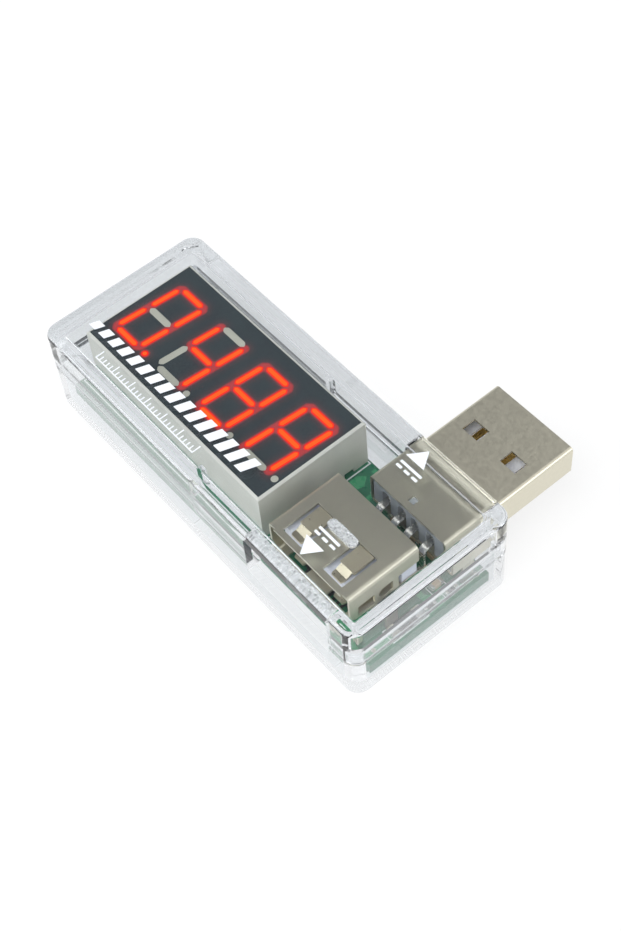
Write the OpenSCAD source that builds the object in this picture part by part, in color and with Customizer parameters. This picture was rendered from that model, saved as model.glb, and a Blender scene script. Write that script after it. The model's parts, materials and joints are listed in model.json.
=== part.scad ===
// In-line USB power meter in a clear two-part case, with a four-digit LED display.
// The case lies flat with its length along X. The display is at the -X end, the USB plug
// leaves towards +Y and the USB socket opens towards -Y, both at the +X end.
// The origin is under the middle of the whole object, on its lowest plane.

/* [Case] */
// Length of the case
case_l = 55; // [54:0.5:60]
// Width of the case, from the socket side to the plug side
case_w = 22.5; // [22:0.1:24]
// Height of the closed case
case_h = 12.9; // [12.8:0.1:14]
// Radius of the upright outer corners
case_r = 1.8; // [1.2:0.1:2.4]
// Thickness of the upright walls
wall_t = 1.8; // [1.6:0.1:1.9]
// Thickness of the top and bottom plates
plate_t = 1.4; // [1.2:0.1:1.4]
// Height at which the two covers meet
seam_z = 6.5; // [6.2:0.1:6.8]
// Height of the lower cover's locating lip above the seam
lip_h = 1.2; // [0.8:0.1:1.5]
// Thickness of the locating lip
lip_t = 0.85; // [0.7:0.05:0.9]
// How far the seam steps up along the display half of the case
seam_step = 0.8; // [0.4:0.1:0.9]

/* [Circuit board] */
// Thickness of the circuit board
board_t = 1.6; // [1.2:0.2:1.6]
// Height of the board's upper face
board_top = 3.4; // [3.3:0.1:3.5]
// Gap between the board's short edges and the case's end walls
end_gap = 0.25; // [0.2:0.05:0.4]
// Gap between the board's long edges and the case's long walls
side_gap = 0.9; // [0.6:0.05:1]

/* [Display] */
// Length of the display housing
display_l = 31.9; // [31.5:0.1:32]
// Width of the display housing
display_w = 15.3; // [15:0.1:15.5]
// Height of the display housing above the board
display_h = 7.4; // [7.3:0.1:7.5]
// Distance from the display end of the case to the housing
display_x = 2.65; // [2.4:0.05:2.8]
// Distance from the socket side of the case to the housing
display_y = 4.3; // [4:0.1:4.8]
// Distance between neighbouring digits
digit_pitch = 7.87; // [7.6:0.01:7.9]
// Height of a digit between the middles of its top and bottom bars
digit_h = 9.06; // [8.6:0.02:9.2]
// Width of a digit between the middles of its left and right bars
digit_w = 4.36; // [4.2:0.02:4.6]
// Width of one light bar
bar_w = 0.86; // [0.7:0.02:1]
// Sideways lean of the digits for each unit of height
digit_slant = 0.078; // [0:0.002:0.12]

/* [USB plug] */
// Distance from the display end to the middle of the plug
plug_x = 46; // [45.8:0.1:46.2]
// Height of the plug's middle plane
plug_z = 8.3; // [8.2:0.1:8.5]
// How far the plug stands out of the case
plug_reach = 11.7; // [11:0.1:12]
// Whole length of the plug's shell
plug_l = 18.75; // [18.5:0.05:18.9]

/* [USB socket] */
// Distance from the display end to the middle of the socket
socket_x = 44.1; // [44:0.1:44.4]
// Height of the socket's middle plane
socket_z = 8.2; // [8.1:0.1:8.3]
// Distance from the case's outer face to the socket's mouth
socket_y = 3.35; // [3:0.05:3.6]
// Length of the socket's shell
socket_l = 9.6; // [9.4:0.1:9.8]

/* [Hidden] */
$fn = 48;
eps = 0.01;

// The whole object's middle, measured from the case's display end and socket side
mid_x = case_l / 2;
mid_y = (case_w + plug_reach) / 2;

// Standard USB type A sizes
plug_w = 12.0;
plug_h = 4.5;
plug_r = 0.5;
socket_w = 13.1;
socket_h = 5.72;
socket_r = 0.6;
sheet_t = 0.3;
outer_pin = 3.5;
inner_pin = 1.0;
pin_places = [-outer_pin, -inner_pin, inner_pin, outer_pin];

// Levels and edges that several pieces share
inner_top = case_h - plate_t;
board_bottom = board_top - board_t;
board_x0 = wall_t + end_gap;
board_y0 = wall_t + side_gap;
board_l = case_l - 2 * board_x0;
board_w = case_w - 2 * board_y0;
plug_y1 = case_w + plug_reach;
plug_y0 = plug_y1 - plug_l;
socket_y1 = socket_y + socket_l;
socket_top = socket_z + socket_h / 2;
socket_floor = socket_z - socket_h / 2;
display_top = board_top + display_h;
fit_gap = 0.1;
pin_hole_r = 0.45;
pin_t = 0.5;

// The socket opening and the plug opening through the case
mouth_w = socket_w + 0.5;
mouth_floor = socket_floor - 0.2;
mouth_top = inner_top - 0.15;
plug_gap = 0.15;
plug_hole_w = plug_w + 2 * plug_gap;
plug_hole_top = plug_z + plug_h / 2 + plug_gap;
plug_hole_floor = plug_z - plug_h / 2 - plug_gap;

// The seam's step, as distances along the case
step_x0 = 27.6;
step_x1 = 28.4;

// Moves a piece from case distances into the object's own frame
module placed() {
    translate([-mid_x, -mid_y, 0]) children();
}

// A flat rectangle with round corners, from its own low corner
module rounded_rect(l, w, r) {
    translate([r, 0]) square([l - 2 * r, w]);
    translate([0, r]) square([l, w - 2 * r]);
    for (x = [r, l - r], y = [r, w - r]) translate([x, y]) circle(r);
}

// An upright block with the outline of the case, drawn in by a margin
module case_block(margin, z0, z1) {
    r = max(case_r - margin, 0.4);
    translate([margin, margin, z0])
        linear_extrude(z1 - z0)
            rounded_rect(case_l - 2 * margin, case_w - 2 * margin, r);
}

// A tube of rectangular section with round edges, lying along Y and centred on X and Z
module sheet_tube(w, h, r, t, l) {
    rotate([90, 0, 0])
        translate([0, 0, -l])
            linear_extrude(l)
                difference() {
                    translate([-w / 2, -h / 2]) rounded_rect(w, h, r);
                    translate([t - w / 2, t - h / 2]) rounded_rect(w - 2 * t, h - 2 * t, r - t);
                }
}

// A solid bar of the same kind
module rounded_bar(w, h, r, l) {
    rotate([90, 0, 0])
        translate([-w / 2, -h / 2, -l])
            linear_extrude(l)
                rounded_rect(w, h, r);
}

// Everything of the case above the seam, which steps up beside the display
module above_seam(extra) {
    low = seam_z + extra;
    high = low + seam_step;
    translate([0, case_w + 1, 0])
        rotate([90, 0, 0])
            linear_extrude(case_w + 2)
                polygon([
                    [-1, high], [step_x0, high], [step_x1, low], [case_l + 1, low],
                    [case_l + 1, case_h + 1], [-1, case_h + 1]
                ]);
}

// The openings that the plug and the socket need in both covers
module connector_openings() {
    translate([socket_x - mouth_w / 2, -1, mouth_floor])
        cube([mouth_w, socket_y + 1, mouth_top - mouth_floor]);
    translate([plug_x - plug_hole_w / 2, case_w - wall_t - 1, plug_hole_floor])
        cube([plug_hole_w, wall_t + 2, plug_hole_top - plug_hole_floor]);
}

// ---------------------------------------------------------------- case

module top_cover() {
    rib_l = 4.3;
    rib_w = 1.3;
    rib_y = socket_y + 4.8;
    guide_w = 0.9;
    guide_d = 0.7;
    guide_z = seam_z + 2.4;
    color([0.93, 0.95, 0.97, 0.35]) placed() {
        difference() {
            intersection() {
                case_block(0, seam_z - 1, case_h);
                above_seam(0);
            }
            case_block(wall_t, -1, inner_top);
            // Rebate that the lower cover's lip slides into
            case_block(wall_t - lip_t - fit_gap, -1, seam_z + seam_step + lip_h + fit_gap);
            connector_openings();
        }
        // Hold-down rib over the socket
        translate([socket_x - rib_l / 2 + rib_w / 2, rib_y, socket_top + fit_gap / 2]) {
            h = inner_top - socket_top - fit_gap / 2 + eps;
            translate([0, -rib_w / 2, 0]) cube([rib_l - rib_w, rib_w, h]);
            for (x = [0, rib_l - rib_w]) translate([x, 0, 0]) cylinder(h = h, d = rib_w);
        }
        // Guide ribs inside both long walls
        for (y = [wall_t - eps, case_w - wall_t - guide_d + eps])
            translate([step_x0 - guide_w / 2, y, guide_z])
                cube([guide_w, guide_d, inner_top - guide_z + eps]);
    }
}

module bottom_cover() {
    pad_w = 2.2;
    pad_h = board_bottom - plate_t - fit_gap / 2;
    color([0.93, 0.95, 0.97, 0.35]) placed() {
        difference() {
            union() {
                difference() {
                    case_block(0, 0, seam_z + seam_step);
                    above_seam(0);
                }
                // Locating lip
                difference() {
                    case_block(wall_t - lip_t, plate_t, seam_z + seam_step + lip_h);
                    above_seam(lip_h);
                }
            }
            case_block(wall_t, plate_t, case_h);
            connector_openings();
        }
        // Low pads at the corners and the middle that carry the board
        for (x = [wall_t - eps, mid_x - pad_w / 2, case_l - wall_t - pad_w + eps])
            for (y = [wall_t - eps, case_w - wall_t - pad_w + eps])
                translate([x, y, plate_t - eps]) cube([pad_w, pad_w, pad_h + eps]);
    }
}

// Printed marks on the top cover: two arrows, a level bar and a scale under it
module legend_print() {
    ink_t = 0.04;
    arrow_w = 2.8;
    arrow_l = 2.1;
    out_tip = [socket_x - 0.5, 2.8];
    in_tip = [plug_x - 3, case_w - 1.1];
    out_mark = [0.4, arrow_l + 0.8];
    in_mark = [0.4, -arrow_l - 1.7];
    color("white") placed() translate([0, 0, case_h])
        linear_extrude(ink_t) {
            arrow(out_tip, arrow_w, arrow_l);
            arrow(in_tip, arrow_w, -arrow_l);
            direct_current_mark(out_tip + out_mark);
            direct_current_mark(in_tip + in_mark);
            level_bar();
            tick_scale();
        }
}

// A triangle with its point at a place and its base a length further along Y
module arrow(tip, w, l) {
    polygon([tip, tip + [w / 2, l], tip + [-w / 2, l]]);
}

// The usual sign for direct current: one long stroke over three short ones
module direct_current_mark(place) {
    long_l = 3.2;
    stroke = 0.32;
    dash_l = 0.8;
    dash_pitch = 1.2;
    translate(place - [long_l / 2, 0]) {
        translate([0, 2 * stroke]) square([long_l, stroke]);
        for (i = [0:2]) translate([i * dash_pitch, 0]) square([dash_l, stroke]);
    }
}

// A row of leaning blocks that grow taller, along the display's lower edge
module level_bar() {
    blocks = 16;
    pitch = 1.8;
    block_w = 1.15;
    low_h = 1.2;
    high_h = 2.3;
    lean = 0.35;
    x0 = display_x + 0.5;
    y0 = display_y + 0.4;
    for (i = [0:blocks - 1]) {
        h = low_h + (high_h - low_h) * i / (blocks - 1);
        x = x0 + i * pitch;
        polygon([[x, y0], [x + block_w, y0], [x + block_w + lean * h, y0 + h], [x + lean * h, y0 + h]]);
    }
}

// A fine scale with a taller stroke at every fifth place
module tick_scale() {
    ticks = 31;
    pitch = 0.6;
    stroke = 0.14;
    short_h = 0.6;
    tall_h = 1.1;
    x0 = display_x + 5;
    y0 = 2.5;
    for (i = [0:ticks - 1])
        translate([x0 + i * pitch, y0]) square([stroke, i % 5 == 0 ? tall_h : short_h]);
    translate([x0, y0 - stroke]) square([(ticks - 1) * pitch + stroke, stroke + eps]);
}

// ---------------------------------------------------------------- circuit board

// Places of the display's twelve pins, six along each long side
display_pin_rows = 10.16;
display_pin_pitch = 2.54;
display_cx = display_x + display_l / 2;
display_cy = display_y + display_w / 2;
display_pin_places = [
    for (i = [-2.5:1:2.5], s = [-1, 1])
        [display_cx + i * display_pin_pitch, display_cy + s * display_pin_rows / 2]
];

// Places of the plug's and the socket's contact legs
plug_leg_y = plug_y0 - 1.1;
socket_leg_y = socket_y1 - 0.55;
plug_leg_places = [for (p = pin_places) [plug_x + p, plug_leg_y]];
socket_leg_places = [for (p = pin_places) [socket_x + p, socket_leg_y]];

// Places of the shells' mounting tabs, which pass through slots in the board
tab_w = 1.6;
plug_tab_y = plug_y0 + 2.2;
socket_tab_y = socket_y + 4.6;
plug_tab_places = [for (s = [-1, 1]) [plug_x + s * (plug_w - sheet_t) / 2, plug_tab_y]];
socket_tab_places = [for (s = [-1, 1]) [socket_x + s * (socket_w - sheet_t) / 2, socket_tab_y]];

module circuit_board() {
    slot_gap = 0.15;
    color([0.1, 0.42, 0.25]) placed()
        difference() {
            translate([board_x0, board_y0, board_bottom]) cube([board_l, board_w, board_t]);
            for (p = concat(display_pin_places, plug_leg_places, socket_leg_places))
                translate([p[0], p[1], board_bottom - 1]) cylinder(h = board_t + 2, r = pin_hole_r);
            for (p = concat(plug_tab_places, socket_tab_places))
                translate([p[0] - sheet_t / 2 - slot_gap, p[1] - tab_w / 2 - slot_gap, board_bottom - 1])
                    cube([sheet_t + 2 * slot_gap, tab_w + 2 * slot_gap, board_t + 2]);
        }
}

// ---------------------------------------------------------------- display

face_margin = 0.33;
face_t = 0.35;
light_gap = 0.02;
light_t = face_t + 0.03;
light_z = display_top - 0.02;
face_z = light_z - face_t;
dot_r = 0.42;
dot_offset = 1.25;

// The middle of each digit along X, and the lean of a point on a digit
digit_mid_x = display_cx + 0.1;
digit_xs = [for (i = [-1.5:1:1.5]) digit_mid_x + i * digit_pitch];
function leaned(p) = [p[0] + digit_slant * p[1], p[1]];

// The middle and direction of bars A to G around a digit's own middle
hw = digit_w / 2;
hh = digit_h / 2;
bar_middles = [[0, hh], [hw, hh / 2], [hw, -hh / 2], [0, -hh], [-hw, -hh / 2], [-hw, hh / 2], [0, 0]];
bar_upright = [false, true, true, false, true, true, false];
bar_gap = 0.5;
dot_place = [hw + dot_offset, -hh];

// Which bars and points are lit, for the reading 0.48A
lit_bars = [
    [1, 1, 1, 1, 1, 1, 0],
    [0, 1, 1, 0, 0, 1, 1],
    [1, 1, 1, 1, 1, 1, 1],
    [1, 1, 1, 0, 1, 1, 1]
];
lit_points = [1, 0, 0, 0];

// Outline of one light bar with pointed ends, grown by a margin
function bar_outline(i, grow) =
    let (
        l = (bar_upright[i] ? hh : digit_w) - bar_gap + 2 * grow,
        w = bar_w + 2 * grow,
        flat = [
            [-l / 2, 0], [-l / 2 + w / 2, w / 2], [l / 2 - w / 2, w / 2],
            [l / 2, 0], [l / 2 - w / 2, -w / 2], [-l / 2 + w / 2, -w / 2]
        ]
    )
    [for (p = flat) leaned(bar_middles[i] + (bar_upright[i] ? [-p[1], p[0]] : p))];

// All bars and points whose lit state is listed, at their places on the face
module light_outlines(states, grow) {
    for (d = [0:3]) translate([digit_xs[d], display_cy]) {
        for (i = [0:6])
            if (len(search(lit_bars[d][i], states)) > 0) polygon(bar_outline(i, grow));
        if (len(search(lit_points[d], states)) > 0)
            translate(leaned(dot_place)) circle(dot_r + grow);
    }
}

module display_housing() {
    rim = 0.35;
    floor_t = 1.0;
    well_t = 0.8;
    shelf = face_margin - light_gap;
    notch_y = 4.85;
    notch_w = 1.4;
    notch_h = 0.65;
    color([0.86, 0.86, 0.83]) placed()
        difference() {
            translate([display_x, display_y, board_top]) cube([display_l, display_w, display_h]);
            // Shelf that the dark face lies in
            translate([display_x + shelf, display_y + shelf, face_z])
                cube([display_l - 2 * shelf, display_w - 2 * shelf, display_h]);
            // Room for the small lamp board under the light wells
            translate([display_x + well_t, display_y + well_t, board_top - 1])
                cube([display_l - 2 * well_t, display_w - 2 * well_t, floor_t + 1]);
            // Light wells under each bar and point
            translate([0, 0, board_top + floor_t - eps])
                linear_extrude(display_h)
                    light_outlines([0, 1], light_gap);
            // Notches at the foot of the side that faces the connectors
            for (y = [display_cy - notch_y, display_cy + notch_y])
                translate([display_x + display_l - well_t - eps, y - notch_w / 2, board_top - 1])
                    cube([well_t + 1, notch_w, notch_h + 1]);
            // Sloped outer rim
            for (s = [0, 1]) translate([0, display_y + s * display_w, display_top])
                rotate([45, 0, 0]) translate([0, -rim / 2, -rim / 2]) cube([case_l, rim, rim]);
            for (s = [0, 1]) translate([display_x + s * display_l, 0, display_top])
                rotate([0, 45, 0]) translate([-rim / 2, 0, -rim / 2]) cube([rim, case_w, rim]);
        }
}

module display_face() {
    color([0.2, 0.22, 0.25]) placed()
        translate([0, 0, face_z])
            linear_extrude(face_t)
                difference() {
                    translate([display_x + face_margin, display_y + face_margin])
                        square([display_l - 2 * face_margin, display_w - 2 * face_margin]);
                    light_outlines([0, 1], light_gap);
                }
}

module segments_lit() {
    color([1, 0.25, 0.05]) placed()
        translate([0, 0, face_z]) linear_extrude(light_t) light_outlines([1], 0);
}

module segments_unlit() {
    color([0.7, 0.69, 0.62]) placed()
        translate([0, 0, face_z]) linear_extrude(light_t) light_outlines([0], 0);
}

lamp_board_gap = 0.1;
lamp_board_t = 0.8;

module display_board() {
    edge = 0.9;
    color([0.85, 0.86, 0.8]) placed()
        translate([0, 0, board_top + lamp_board_gap])
            difference() {
                translate([display_x + edge, display_y + edge, 0])
                    cube([display_l - 2 * edge, display_w - 2 * edge, lamp_board_t]);
                for (p = display_pin_places)
                    translate([p[0], p[1], -1]) cylinder(h = lamp_board_t + 2, r = pin_hole_r);
            }
}

module led_chips() {
    chip = 0.3;
    z = board_top + lamp_board_gap + lamp_board_t + light_gap;
    color([0.9, 0.75, 0.3]) placed()
        for (d = [0:3]) translate([digit_xs[d], display_cy, z]) {
            for (m = bar_middles) translate(leaned(m) - [chip / 2, chip / 2]) cube(chip);
            translate(leaned(dot_place) - [chip / 2, chip / 2]) cube(chip);
        }
}

module display_pins() {
    below = 0.3;
    color("silver") placed()
        for (p = display_pin_places)
            translate([p[0] - pin_t / 2, p[1] - pin_t / 2, board_bottom - below])
                cube([pin_t, pin_t, below + board_t + 1]);
}

// ---------------------------------------------------------------- USB plug

plug_floor = plug_z - plug_h / 2;
block_gap = 0.03;
tongue_w = 11.3;
tongue_h = 1.95;
tongue_z = plug_floor + sheet_t + block_gap;
tongue_top = tongue_z + tongue_h;
contact_t = 0.2;
contact_w = 1.0;
leg_w = 0.6;
passage_w = contact_w + 2 * light_gap;
passage_d = 0.25;
leg_below = 0.3;

// A mounting tab that goes down from a shell's side through the board
module shell_tab(p, top) {
    low = board_bottom - leg_below;
    translate([p[0] - sheet_t / 2, p[1] - tab_w / 2, low]) cube([sheet_t, tab_w, top - low]);
}

module plug_shell() {
    window_x = 2.94;
    window_w = 2.4;
    window_l = 1.86;
    window_tip = 5.07;
    window_y = plug_y1 - window_tip - window_l;
    dimple = 0.9;
    dimple_x = plug_x - 0.4;
    dimple_y = plug_y0 + 1.3;
    color([0.64, 0.62, 0.56]) placed() {
        difference() {
            translate([plug_x, plug_y0, plug_z]) sheet_tube(plug_w, plug_h, plug_r, sheet_t, plug_l);
            for (s = [-1, 1])
                translate([plug_x + s * window_x - window_w / 2, window_y, plug_z - plug_h])
                    cube([window_w, window_l, 2 * plug_h]);
            translate([dimple_x - dimple / 2, dimple_y - dimple / 2, plug_z])
                cube([dimple, dimple, plug_h]);
        }
        for (p = plug_tab_places) shell_tab(p, plug_floor + 1);
    }
}

module plug_insulator() {
    setback = 0.6;
    body_l = 6.4;
    body_h = plug_h - 2 * sheet_t - 2 * block_gap;
    y0 = plug_y0 + 2.4;
    color([0.95, 0.95, 0.93]) placed()
        difference() {
            union() {
                translate([plug_x, y0, tongue_z + tongue_h / 2])
                    rounded_bar(tongue_w, tongue_h, plug_r - sheet_t, plug_y1 - setback - y0);
                translate([plug_x, y0, plug_z]) rounded_bar(tongue_w, body_h, plug_r, body_l);
            }
            // Passages for the four contacts
            for (p = pin_places)
                translate([plug_x + p - passage_w / 2, y0 - 1, tongue_top - passage_d])
                    cube([passage_w, plug_y1, passage_d + light_gap]);
        }
}

// The four flat contacts, each with a round bend and a leg down through the board
module plug_contacts() {
    long_y = plug_y1 - 1.3;
    short_y = plug_y1 - 2.3;
    wide_y = plug_y0 + 1;
    z = tongue_top - contact_t - light_gap;
    bend_r = 0.5;
    low = board_bottom - leg_below;
    color([0.85, 0.68, 0.32]) placed()
        for (p = pin_places) {
            end_y = abs(p) == outer_pin ? long_y : short_y;
            y0 = plug_leg_y + bend_r;
            translate([plug_x + p - contact_w / 2, wide_y, z]) cube([contact_w, end_y - wide_y, contact_t]);
            translate([plug_x + p - leg_w / 2, y0, z]) cube([leg_w, wide_y + eps - y0, contact_t]);
            // Quarter bend
            translate([plug_x + p - leg_w / 2, y0, z + contact_t - bend_r - contact_t / 2])
                rotate([90, 0, 90])
                    intersection() {
                        difference() {
                            cylinder(h = leg_w, r = bend_r + contact_t / 2);
                            translate([0, 0, -1]) cylinder(h = leg_w + 2, r = bend_r - contact_t / 2);
                        }
                        translate([-2 * bend_r, 0, 0]) cube([2 * bend_r, 2 * bend_r, leg_w]);
                    }
            translate([plug_x + p - leg_w / 2, plug_leg_y - contact_t / 2, low])
                cube([leg_w, contact_t, z + contact_t / 2 - bend_r - low + eps]);
        }
}

// Grey block that closes the plug's rear, with a notch for each contact
module plug_base() {
    w = plug_w - 2 * sheet_t - 2 * plug_gap;
    h = plug_h - 2 * sheet_t - 2 * block_gap;
    y0 = plug_y0 + fit_gap;
    l = 2.25;
    notch_w = 1.3;
    notch_d = 0.7;
    notch_top = tongue_top + 0.65;
    color([0.58, 0.6, 0.61]) placed()
        difference() {
            translate([plug_x - w / 2, y0, tongue_z]) cube([w, l, h]);
            for (p = pin_places) {
                translate([plug_x + p - notch_w / 2, y0 - eps, tongue_z - 1])
                    cube([notch_w, notch_d, notch_top - tongue_z + 1]);
                translate([plug_x + p, y0 - eps, notch_top])
                    rotate([-90, 0, 0]) cylinder(h = notch_d, d = notch_w);
                translate([plug_x + p - passage_w / 2, y0 - 1, tongue_top - passage_d])
                    cube([passage_w, l + 2, passage_d + light_gap]);
            }
        }
}

// ---------------------------------------------------------------- USB socket

spring_w = 2.2;
spring_slot = 0.45;
spring_x = 3.25;
spring_y0 = socket_y + 0.55;
spring_root_y = socket_y + 5.45;
root_gap = 0.04;
insulator_y0 = socket_y + 7.4;

module socket_shell() {
    cut_w = spring_w + 2 * spring_slot;
    lip_l = 0.2;
    lip_inset = 1.1;
    win_h = 1.5;
    win_top = socket_z + 0.35;
    square_y = socket_y + 1.1;
    square_l = 2.3;
    round_y = socket_y + 4.7;
    round_l = 1.2;
    rear_y = socket_y + 6.7;
    rear_z = socket_floor + 0.9;
    color([0.66, 0.64, 0.59]) placed() {
        difference() {
            translate([socket_x, socket_y, socket_z])
                sheet_tube(socket_w, socket_h, socket_r, sheet_t, socket_l);
            // Slots round the four retention springs
            for (s = [-1, 1])
                translate([socket_x + s * spring_x - cut_w / 2, spring_y0, socket_z - socket_h])
                    cube([cut_w, spring_root_y - spring_y0, 2 * socket_h]);
            // Side windows: a square one near the mouth and a round-ended one behind it
            translate([socket_x - socket_w, square_y, win_top - win_h]) cube([2 * socket_w, square_l, win_h]);
            translate([socket_x - socket_w, round_y, win_top - win_h / 2])
                rotate([0, 90, 0]) cylinder(h = 2 * socket_w, d = win_h);
            translate([socket_x - socket_w, round_y, win_top - win_h]) cube([2 * socket_w, round_l, win_h]);
            // Rear part of the sides, cut away beside the insulator
            translate([socket_x - socket_w, rear_y, rear_z]) cube([2 * socket_w, socket_l, win_top - rear_z]);
            // Open rear underside for the contact legs
            translate([socket_x - socket_w / 2 + 1, insulator_y0 + 0.6, socket_floor - 1])
                cube([socket_w - 2, socket_l, 1 + sheet_t + eps]);
        }
        for (p = socket_tab_places) shell_tab(p, socket_floor + 1);
        // Small lip along the middle of the mouth's upper and lower edges
        for (z = [socket_floor, socket_top - sheet_t])
            translate([socket_x - socket_w / 2 + lip_inset, socket_y - lip_l, z])
                cube([socket_w - 2 * lip_inset, lip_l + eps, sheet_t]);
    }
}

socket_tongue_top = socket_z + 1.84;
groove_w = 1.3;
groove_h = 0.85;
leg_hole_w = leg_w + 0.24;
leg_hole_t = contact_t + 0.24;
contact_root_y = insulator_y0 + 0.1;
contact_z = socket_z + 0.4;

module socket_insulator() {
    block_w = socket_w - 2 * sheet_t - 2 * block_gap;
    block_h = socket_h - 2 * sheet_t - 2 * block_gap;
    tongue_tip = socket_y + 1.35;
    foot_h = socket_floor + sheet_t + block_gap - board_top;
    foot_l = 0.7;
    foot_w = tongue_w - 0.4;
    color([0.9, 0.91, 0.94]) placed()
        difference() {
            union() {
                translate([socket_x, insulator_y0, socket_z])
                    rounded_bar(block_w, block_h, socket_r, socket_y1 - insulator_y0 - 0.1);
                translate([socket_x - tongue_w / 2, tongue_tip, socket_z])
                    cube([tongue_w, insulator_y0 - tongue_tip + eps, socket_tongue_top - socket_z]);
                translate([socket_x - foot_w / 2, insulator_y0 + foot_l, board_top])
                    cube([foot_w, foot_l, foot_h + eps]);
            }
            // Grooves under the tongue for the four contact springs
            for (p = pin_places) {
                translate([socket_x + p - groove_w / 2, tongue_tip + 0.5, socket_z - eps])
                    cube([groove_w, insulator_y0 - tongue_tip, groove_h + eps]);
                // Passage for each leg through the block
                translate([socket_x + p - leg_hole_w / 2, insulator_y0 - 1, contact_z - leg_hole_t / 2])
                    cube([leg_hole_w, socket_l, leg_hole_t]);
                translate([socket_x + p - leg_hole_w / 2, socket_leg_y - leg_hole_t / 2, board_top - 1])
                    cube([leg_hole_w, 2, contact_z + leg_hole_t / 2 + 1 - board_top]);
            }
        }
}

// Still legs of the four socket contacts: back through the block, then down
module socket_pins() {
    t = contact_t;
    y0 = contact_root_y + root_gap;
    low = board_bottom - leg_below;
    color([0.85, 0.68, 0.32]) placed()
        for (p = socket_leg_places) {
            translate([p[0] - leg_w / 2, y0, contact_z - t / 2]) cube([leg_w, socket_leg_y + t / 2 - y0, t]);
            translate([p[0] - leg_w / 2, socket_leg_y - t / 2, low]) cube([leg_w, t, contact_z - low]);
        }
}

// One contact spring: it slopes down from its root and curls up at its tip
module contact_spring(i) {
    t = contact_t;
    w = contact_w;
    arm_l = 4.0;
    slope = 8;
    tip_w = 0.8;
    tip_l = 0.8;
    tip_slope = 25;
    color([0.85, 0.68, 0.32]) placed()
        translate([socket_x + pin_places[i], contact_root_y - t / 2, contact_z])
            rotate([slope, 0, 0]) {
                fold_line(w, t);
                translate([-w / 2, -arm_l, -t / 2]) cube([w, arm_l, t]);
                translate([0, -arm_l, 0]) {
                    fold_line(w, t);
                    rotate([-slope - tip_slope, 0, 0])
                        translate([-tip_w / 2, -tip_l, -t / 2]) cube([tip_w, tip_l, t]);
                }
            }
}

// One retention spring: a flat tongue leaning inwards with a hooked, rounded tip.
// side is -1 or 1 along X, and level is 1 for the shell's top or -1 for its floor.
module retention_spring(side, level) {
    t = sheet_t;
    arm_l = 2.7;
    slope = level * 3.5;
    tip_w = 1.7;
    tip_l = 0.9;
    tip_slope = level * 22;
    curl_l = 0.25;
    curl_slope = level * -28;
    x = socket_x + side * spring_x;
    z = socket_z + level * (socket_h - t) / 2;
    color([0.7, 0.68, 0.62]) placed()
        translate([x, spring_root_y - root_gap - t / 2, z])
            rotate([slope, 0, 0]) {
                fold_line(spring_w, t);
                translate([-spring_w / 2, -arm_l, -t / 2]) cube([spring_w, arm_l, t]);
                translate([0, -arm_l, 0]) {
                    fold_line(tip_w, t);
                    rotate([tip_slope, 0, 0]) {
                        translate([-tip_w / 2, -tip_l, -t / 2]) cube([tip_w, tip_l, t]);
                        translate([0, -tip_l, 0]) {
                            fold_line(tip_w, t);
                            rotate([curl_slope, 0, 0]) rounded_end(tip_w, curl_l, t);
                        }
                    }
                }
            }
}

// The round outside of a fold across a strip
module fold_line(w, t) {
    translate([-w / 2, 0, 0]) rotate([0, 90, 0]) cylinder(h = w, d = t);
}

// The end of a strip: a short straight stretch, then a shallow arc
module rounded_end(w, l, t) {
    arc_l = 0.5;
    translate([-w / 2, -l, -t / 2]) cube([w, l, t]);
    translate([0, -l, -t / 2])
        intersection() {
            cylinder(h = t, d = w);
            translate([-w / 2, -arc_l, 0]) cube([w, arc_l + eps, t]);
        }
}

// ---------------------------------------------------------------- small electronics

// Moves a piece to a place on the board's upper face and turns it
module on_board(place, turn) {
    translate([place[0], place[1], board_top]) rotate([0, 0, turn]) children();
}

// A chip body with a row of bent leads along both long sides
module leaded_chip(l, w, h, leads, pitch, lead_w) {
    reach = 0.6;
    shoulder = 0.2;
    lead_t = 0.15;
    standoff = 0.08;
    translate([-l / 2, -w / 2, standoff]) cube([l, w, h]);
    for (turn = [0, 180], i = [0:leads - 1]) rotate([0, 0, turn])
        translate([(i - (leads - 1) / 2) * pitch - lead_w / 2, w / 2 - eps, 0]) {
            cube([lead_w, reach, lead_t]);
            cube([lead_w, shoulder, h / 2]);
        }
}

// A plain block part without leads
module block_chip(l, w, h) {
    translate([-l / 2, -w / 2, 0]) cube([l, w, h]);
}

controller_place = [socket_x, socket_y + 4.2];
regulator_place = [36.5, 13.9];
amplifier_place = [36.5, 10.4];
shunt_place = [51.7, 8.9];

module microcontroller() {
    color([0.12, 0.12, 0.13]) placed()
        on_board(controller_place, 0)
            leaded_chip(l = 7.8, w = 4.4, h = 1.1, leads = 10, pitch = 0.65, lead_w = 0.3);
}

module voltage_regulator() {
    color([0.13, 0.13, 0.14]) placed()
        on_board(regulator_place, 90)
            leaded_chip(l = 2.9, w = 1.5, h = 1.0, leads = 3, pitch = 0.95, lead_w = 0.4);
}

module sense_amplifier() {
    color([0.14, 0.14, 0.15]) placed()
        on_board(amplifier_place, 90)
            leaded_chip(l = 3.0, w = 1.6, h = 1.0, leads = 2, pitch = 1.9, lead_w = 0.4);
}

module shunt_resistor() {
    color([0.1, 0.1, 0.1]) placed() on_board(shunt_place, 90) block_chip(l = 4.4, w = 1.4, h = 0.6);
}

resistor_row = [for (i = [0:6]) [42.4 + i * 1.2, 18.8]];
resistor_pair = [for (y = [12.2, 15.2]) [51.8, y]];

module chip_resistors() {
    color([0.08, 0.08, 0.09]) placed()
        for (p = concat(resistor_row, resistor_pair)) on_board(p, 90) block_chip(l = 1.6, w = 0.8, h = 0.45);
}

large_capacitors = [[43, 16.6], [46, 16.6], [49, 16.6]];
small_capacitors = [[38.6, 18], [50.4, 14.4]];

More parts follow.
